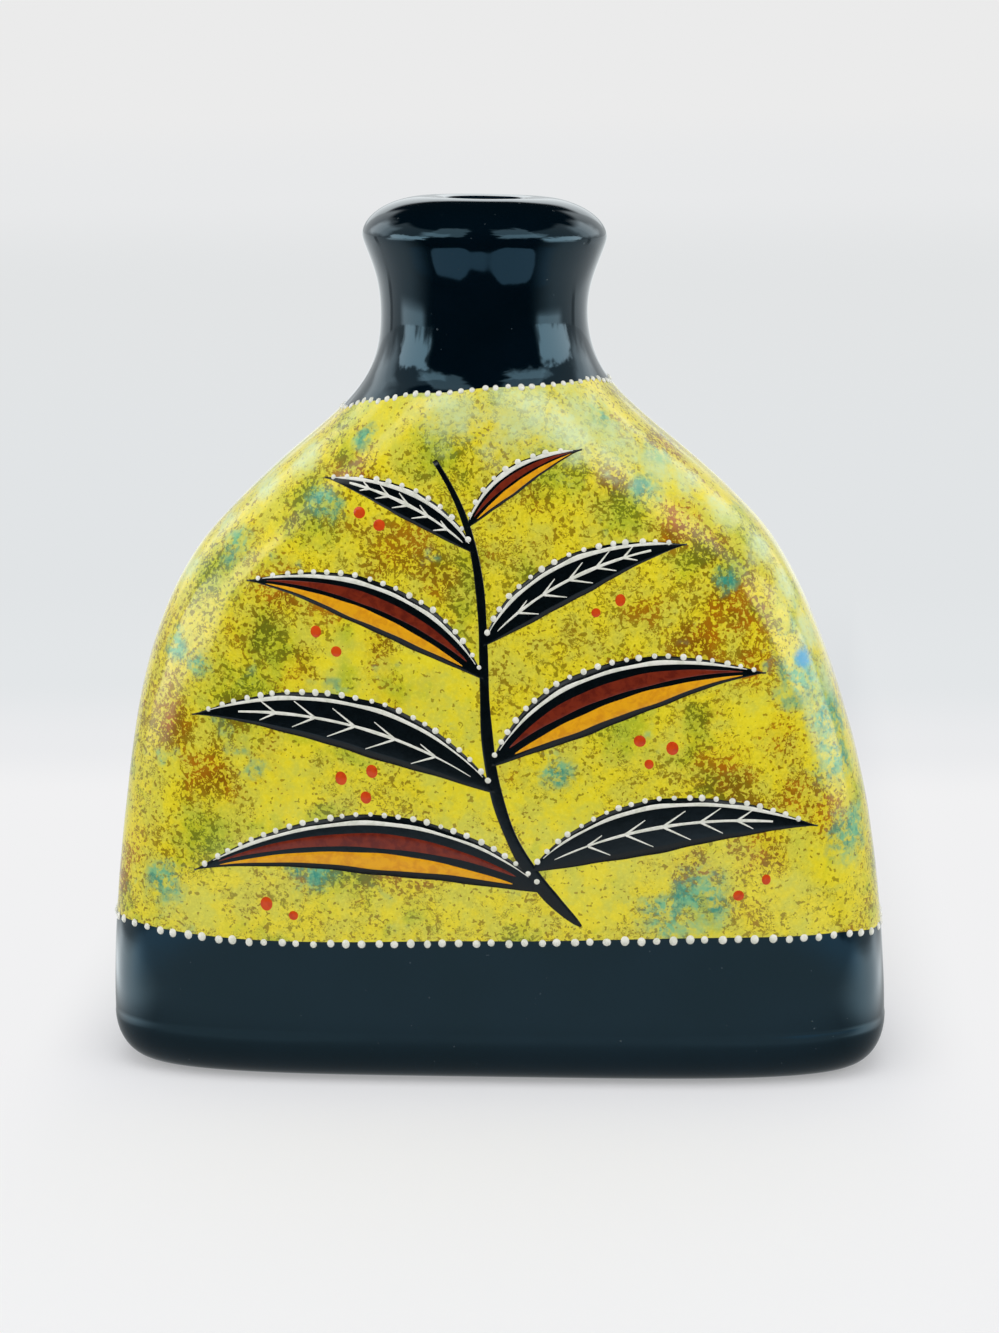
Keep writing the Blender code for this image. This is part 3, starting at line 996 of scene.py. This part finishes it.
def speck_colour(nodes, place, masks):
    """Olive specks, rusty or burnt in the rust stains and green in the green ones."""
    burnt = nodes.rise(nodes.noise(place, "burnt"), *BURNT_SPAN)
    rusty = nodes.mix(burnt, SPECK_RUST, SPECK_BURNT)
    colour = nodes.mix(nodes.most(masks["rust"], nodes.times(burnt, BURNT_SHARE)), SPECK_OLIVE, rusty)
    return nodes.mix(nodes.times(masks["green"], GREEN_SHARE), colour, SPECK_GREEN)


def glaze_washes(nodes, place, masks, breaks, colour):
    """Teal veils, the pale mint wash under the neck and along the shoulders, which is partly pale glaze
    and partly painted sheen, and the bright blue spot, over a colour.
    """
    mottle = nodes.noise(place, "mottle")
    veil = nodes.times(masks["teal"], nodes.scaled(nodes.rise(mottle, *VEIL_SPAN), *VEIL_AMOUNT))
    aqua = nodes.mix(nodes.rise(breaks, *AQUA_SPAN), AQUA_PALE, AQUA_DEEP)
    colour = nodes.mix(veil, colour, aqua)
    # Painted sheen, partly pale glaze: the mint wash under the neck and along the shoulders
    mint_and_sheen = nodes.times(masks["pale_glaze_and_sheen"], nodes.scaled(nodes.rise(mottle, *MINT_SHEEN_SPAN), *MINT_SHEEN_AMOUNT))
    colour = nodes.mix(mint_and_sheen, colour, MINT_GLAZE_AND_SHEEN)
    return nodes.mix(nodes.times(masks["cyan"], CYAN_SHARE), colour, CYAN)


def sponged_glaze():
    """Yellow glaze sponged with olive, rust, green and teal, under a clear gloss."""
    material, nodes, shader, place = new_material("sponged_glaze", roughness=0.12, specular=0.36)
    masks = glaze_masks(nodes, place)
    breaks = nodes.noise(place, "breaks")
    specks = glaze_specks(nodes, place, masks, breaks)
    cover = nodes.times(specks, nodes.scaled(masks["density"], *SPECK_STRENGTH))
    colour = nodes.mix(cover, glaze_ground(nodes, place, masks), speck_colour(nodes, place, masks))
    colour = glaze_washes(nodes, place, masks, breaks, colour)
    relief = nodes.noise(place, "glaze_relief")
    dress(nodes, shader, colour, nodes.scaled(specks, SPECK_RELIEF, relief), GLAZE_RELIEF)
    return material


# Paints: the material's name, its two tones and its roughness
WHITE_PAINT = ("white_slip", srgb(234, 233, 222), srgb(216, 217, 202), 0.25)
PAINTS = {
    "black": ("black_paint", srgb(2, 8, 11), srgb(5, 13, 17), 0.2),
    "maroon": ("maroon_paint", srgb(122, 40, 18), srgb(98, 28, 14), 0.2),
    "ochre": ("ochre_paint", srgb(236, 168, 12), srgb(222, 148, 14), 0.2),
    "orange": ("orange_paint", srgb(214, 72, 12), srgb(196, 60, 12), 0.2),
}
STREAK_SPAN = (0.40, 0.66)
BRUSH_RELIEF = (0.00004, 0.6)


def paint(name, colour, shade_colour, roughness):
    """Brushed enamel: streaky tone and a slight relief."""
    material, nodes, shader, place = new_material(name, roughness, specular=0.3)
    streaks = nodes.rise(nodes.noise(place, "streaks"), *STREAK_SPAN)
    colour = nodes.mix(streaks, colour, shade_colour)
    dress(nodes, shader, colour, nodes.noise(place, "brush_relief"), BRUSH_RELIEF)
    return material


# Floor tones by distance behind the vase, in metres: painted shading of the floor, brightest near the
# vase, dimmest from about half a metre to two metres behind, lighter again far off
PAPER_TONES = (
    (0.22, (241, 241, 242)), (0.29, (234, 235, 237)), (0.39, (227, 230, 232)), (0.60, (225, 228, 230)),
    (2.00, (226, 228, 229)), (3.60, (232, 233, 234)), (8.00, (235, 235, 235)))
PAPER_RELIEF = (0.00002, 0.3)
FLOOR_SIDES = 96
FLOOR_RADII = (0.3, 1.0, 3.0, 9.0)

# Where the camera sees the floor evenly lit, by distance and by reach beside the vase
EVEN_AWAY = (0.16, 0.60)
EVEN_BESIDE = (0.099, 0.132)
EVEN_LEAST = 0.35

# The floor that the gloss mirrors. Turns are degrees from the front, and other spans are metres
FLOOR_GLOW = 0.85
MIRROR_TINT = (0.93, 0.98, 1.0)
ENDS_GLOW = 2.0
ENDS_BESIDE = (FOOT_HALF_WIDTH + 0.040, FOOT_HALF_WIDTH + 0.12, 0.02)
ENDS_BEHIND = (0.09, 0.03)
WINDOW_GLOW = 2.6
WINDOW_AWAY = (0.70, 1.50)
WINDOW_TURNS = (64, 97, 5)
DARK_DEPTH = 0.985
DARK_FROM = 0.246
DARK_BULGE = 0.066
DARK_BULGE_TURNS = (17, 56, 8)
DARK_WAVES = (0.03, -0.015)
DARK_EDGE = (-0.005, 0.007)
DARK_TURNS = (88, 52)
BACK_GLOW = 0.30
BACK_AWAY = (0.45, 0.80)
BACK_TURNS = (112, 124)
# A painted dark line in the mirrored floor, far off at these turns
DARK_LINE_DEPTH = 0.6
DARK_LINE_TURNS = (116, 122, 1.5)
# Painted shadow in the mirrored floor: its glow drops to this share next to the foot
CONTACT_SHADOW_GLOW = 0.40
CONTACT_SHADOW_EDGE = (-0.01, 0.05)
BLUE_TINT = (0.90, 1.26, 1.55)
BLUE_AWAY = (0.20, 0.36, 0.03)
BLUE_TURNS = (84, 66)


def dark_floor(nodes, place, away, turn):
    """Where the mirrored floor is dark: in front, from a wavy edge on."""
    waves = nodes.scaled(nodes.noise(place, "floor_waves"), *DARK_WAVES)
    edge = nodes.scaled(nodes.between(turn, *DARK_BULGE_TURNS), DARK_BULGE, DARK_FROM)
    past = nodes.less(nodes.maths("ADD", away, waves), edge)
    return nodes.times(nodes.rise(past, *DARK_EDGE), nodes.rise(turn, *DARK_TURNS))


def mirrored_floor(nodes, place, beside, behind, away):
    """The floor as the gloss mirrors it: lit at the vase's ends, to the sides and at the back, with a
    painted shadow next to the foot.
    """
    depth = nodes.maths("ABSOLUTE", behind)
    ends = nodes.times(nodes.between(beside, *ENDS_BESIDE), nodes.rise(depth, *ENDS_BEHIND))
    level = nodes.scaled(ends, ENDS_GLOW, FLOOR_GLOW)
    turn = nodes.maths("DEGREES", nodes.maths("ARCTAN2", beside, nodes.times(behind, -1.0)))
    window = nodes.times(nodes.rise(away, *WINDOW_AWAY), nodes.between(turn, *WINDOW_TURNS))
    level = nodes.scaled(window, WINDOW_GLOW, level)
    dark = nodes.times(dark_floor(nodes, place, away, turn), nodes.less(1.0, window))
    level = nodes.dimmed(level, dark, DARK_DEPTH)
    far = nodes.rise(away, *BACK_AWAY)
    level = nodes.scaled(nodes.times(far, nodes.rise(turn, *BACK_TURNS)), BACK_GLOW, level)
    # Painted dark line in the mirrored floor, far off
    level = nodes.dimmed(level, nodes.times(far, nodes.between(turn, *DARK_LINE_TURNS)), DARK_LINE_DEPTH)
    # Painted contact shadow: the mirrored floor's glow darkens next to the foot
    outside = nodes.most(nodes.less(beside, FOOT_HALF_WIDTH), nodes.less(depth, FOOT_HALF_DEPTH))
    painted_contact_shadow = nodes.scaled(nodes.rise(outside, *CONTACT_SHADOW_EDGE), 1 - CONTACT_SHADOW_GLOW, CONTACT_SHADOW_GLOW)
    level = nodes.times(level, painted_contact_shadow)
    blue = nodes.times(nodes.between(away, *BLUE_AWAY), nodes.rise(turn, *BLUE_TURNS))
    tint = nodes.mix(blue, (*MIRROR_TINT, 1), (*BLUE_TINT, 1))
    return nodes.vector("MULTIPLY", nodes.joined(level), tint)


def paper():
    """Pale floor paper: matt near the vase, evenly bright far away, and with a glow for reflections."""
    material, nodes, shader, place = new_material("paper_floor", roughness=0.7, specular=0.0)
    across, behind, _ = nodes.parts(place)
    colour = srgb(*PAPER_TONES[0][1])
    for (start, _), (end, tone) in zip(PAPER_TONES, PAPER_TONES[1:]):
        colour = nodes.mix(nodes.rise(behind, start, end), colour, srgb(*tone))
    dress(nodes, shader, colour, nodes.noise(place, "paper_relief"), PAPER_RELIEF)

    light = nodes.new("ShaderNodeLightPath")
    mirrored = light.outputs["Is Glossy Ray"]
    beside = nodes.maths("ABSOLUTE", across)
    away = nodes.vector("DISTANCE", place, (0.0, 0.0, 0.0))
    bright = nodes.new("ShaderNodeEmission")
    glow = nodes.mix(mirrored, colour, mirrored_floor(nodes, place, beside, behind, away))
    nodes.link(glow, bright.inputs["Color"])
    share = nodes.most(nodes.rise(away, *EVEN_AWAY), nodes.rise(beside, *EVEN_BESIDE))
    share = nodes.scaled(share, 1 - EVEN_LEAST, EVEN_LEAST)
    seen = nodes.most(nodes.times(light.outputs["Is Camera Ray"], share), mirrored)
    both = nodes.new("ShaderNodeMixShader")
    for socket, source in zip(both.inputs, (seen, shader.outputs[0], bright.outputs[0])):
        nodes.link(source, socket)
    nodes.link(both.outputs[0], material.node_tree.nodes["Material Output"].inputs["Surface"])
    return material


def make_floor():
    """A wide pale floor that keeps the vase's shadow."""
    data = bpy.data.meshes.new("floor")
    points = [(0.0, 0.0, 0.0)]
    for radius in FLOOR_RADII:
        for i in range(FLOOR_SIDES):
            turn = 2 * math.pi * i / FLOOR_SIDES
            points.append((radius * math.cos(turn), radius * math.sin(turn), 0.0))
    faces = [(0, 1 + i, 1 + (i + 1) % FLOOR_SIDES) for i in range(FLOOR_SIDES)]
    faces.extend(ring_faces(1, len(FLOOR_RADII), FLOOR_SIDES))
    data.from_pydata(points, [], faces)
    floor = bpy.data.objects.new("floor", data)
    bpy.context.scene.collection.objects.link(floor)
    data.materials.append(paper())


# Mirrored surroundings: side, turns from the front, heights, brightness, softness and raggedness
FACING = (0.083, -0.9966, 0.0)
BESIDE = (0.9966, 0.083, 0.0)
SURROUNDINGS = (
    ("both", (55, 119), (-15, 48), 0.60, 3.0, 6.0),
    ("both", (104, 140), (6, 36), 1.5, 6.0, 14.0),
    ("both", (57, 98), (-2, 17), 4.8, 2.5, 26.0),
    ("right", (16, 66), (20, 38), 1.8, 3.0, 26.0),
    ("right", (14, 60), (24, 62), 1.8, 3.0, 26.0),
    ("left", (38, 66), (20, 38), 1.8, 3.0, 26.0),
    ("left", (20, 60), (24, 62), 1.8, 3.0, 26.0),
    ("both", (119, 160), (-15, 33), 0.9, 3.0, 0.0),
    ("both", (160, 190), (-15, 5), 0.75, 3.0, 0.0),
    ("both", (160, 190), (5, 23), 1.4, 2.5, 0.0),
)
DARKNESS = 0.006
SOFT_LIGHT = (0.54, 0.55, 0.57, 1)


def mirrored_world(nodes, toward):
    """The surroundings as the gloss mirrors them, by the direction looked in."""
    facing = nodes.vector("DOT_PRODUCT", toward, FACING)
    beside = nodes.vector("DOT_PRODUCT", toward, BESIDE)
    right = nodes.maths("DEGREES", nodes.maths("ARCTAN2", beside, facing))
    turn = {"right": right, "left": nodes.times(right, -1.0), "both": nodes.maths("ABSOLUTE", right)}
    height = nodes.maths("DEGREES", nodes.maths("ARCSINE", nodes.parts(toward)["Z"]))
    wobble_turn = nodes.less(nodes.noise(toward, "wobble_turn"), 0.5)
    wobble_height = nodes.less(nodes.noise(toward, "wobble_height"), 0.5)
    tone = DARKNESS
    for side, turns, heights, brightness, soft, ragged in SURROUNDINGS:
        area = nodes.between(nodes.scaled(wobble_turn, ragged, turn[side]), *turns, soft)
        band = nodes.between(nodes.scaled(wobble_height, ragged, height), *heights, soft)
        tone = nodes.scaled(nodes.times(area, band), brightness, tone)
    return nodes.vector("MULTIPLY", nodes.joined(tone), MIRROR_TINT)


def make_world():
    """Soft studio surroundings: even for the camera and for soft light, a light tent for reflections."""
    world = bpy.data.worlds.new("studio")
    bpy.context.scene.world = world
    world.use_nodes = True
    nodes = Nodes(world.node_tree)
    toward = nodes.new("ShaderNodeTexCoord").outputs["Generated"]
    light = nodes.new("ShaderNodeLightPath")
    colour = nodes.mix(light.outputs["Is Glossy Ray"], SOFT_LIGHT, mirrored_world(nodes, toward))
    colour = nodes.mix(light.outputs["Is Camera Ray"], colour, srgb(*PAPER_TONES[-1][1]))
    nodes.link(colour, world.node_tree.nodes["Background"].inputs["Color"])


# Lamps: name, place, target, width, height and power
PANELS = (
    ("top_panel", (0.0, -0.20, 0.80), (0.0, 0.0, 0.1), 0.7, 0.5, 2.3),
    ("left_panel", (-0.60, -0.25, 0.45), (0.0, 0.0, 0.12), 0.40, 0.40, 0.98),
    ("right_panel", (0.60, -0.25, 0.45), (0.0, 0.0, 0.12), 0.40, 0.40, 0.98),
)


def add_panel(name, place, target, width, height, power):
    """A soft rectangular light that looks at a point."""
    data = bpy.data.lights.new(name, "AREA")
    data.shape = "RECTANGLE"
    data.size = width
    data.size_y = height
    data.energy = power
    lamp = bpy.data.objects.new(name, data)
    bpy.context.scene.collection.objects.link(lamp)
    aim = Vector(target) - Vector(place)
    lamp.rotation_euler = aim.to_track_quat("-Z", "Y").to_euler()
    lamp.location = place
    lamp.visible_glossy = False


CAMERA_PLACE = Vector((0.0527, -0.6339, 0.2667))
CAMERA_HEADING = Vector((-0.0792, 0.9969, 0.0)).normalized()
CAMERA_DIP = math.radians(14.27)
CAMERA_ROLL = math.radians(-1.03)
CAMERA_SENSOR = 36.0
CAMERA_LENS = 67.52
CAMERA_NEAREST = 0.01


def make_camera():
    """The camera that the photograph's outline gives."""
    data = bpy.data.cameras.new("camera")
    data.sensor_width = CAMERA_SENSOR
    data.lens = CAMERA_LENS
    data.clip_start = CAMERA_NEAREST
    camera = bpy.data.objects.new("camera", data)
    bpy.context.scene.collection.objects.link(camera)
    forward = CAMERA_HEADING * math.cos(CAMERA_DIP) - Vector((0, 0, math.sin(CAMERA_DIP)))
    right = forward.cross(Vector((0, 0, 1))).normalized()
    up = right.cross(forward)
    turned_right = right * math.cos(CAMERA_ROLL) + up * math.sin(CAMERA_ROLL)
    turned_up = up * math.cos(CAMERA_ROLL) - right * math.sin(CAMERA_ROLL)
    axes = Matrix((turned_right, turned_up, -forward)).transposed().to_4x4()
    camera.matrix_world = Matrix.Translation(CAMERA_PLACE) @ axes
    bpy.context.scene.camera = camera


def build():
    """Dress the vase, and set the floor, lights and camera."""
    bpy.context.scene.view_settings.view_transform = "Standard"
    make_camera()
    dark = black_glaze()
    make_foot(dark)
    make_body(sponged_glaze())
    make_neck(dark)
    white = paint(*WHITE_PAINT)
    make_dot_row("foot_dots", white, **FOOT_DOTS)
    make_dot_row("neck_dots", white, **NECK_DOTS)
    paints = {name: paint(*values) for name, values in PAINTS.items()}
    paints["white"] = white
    make_spray(paints)
    make_floor()
    make_world()
    for panel in PANELS:
        add_panel(*panel)


build()
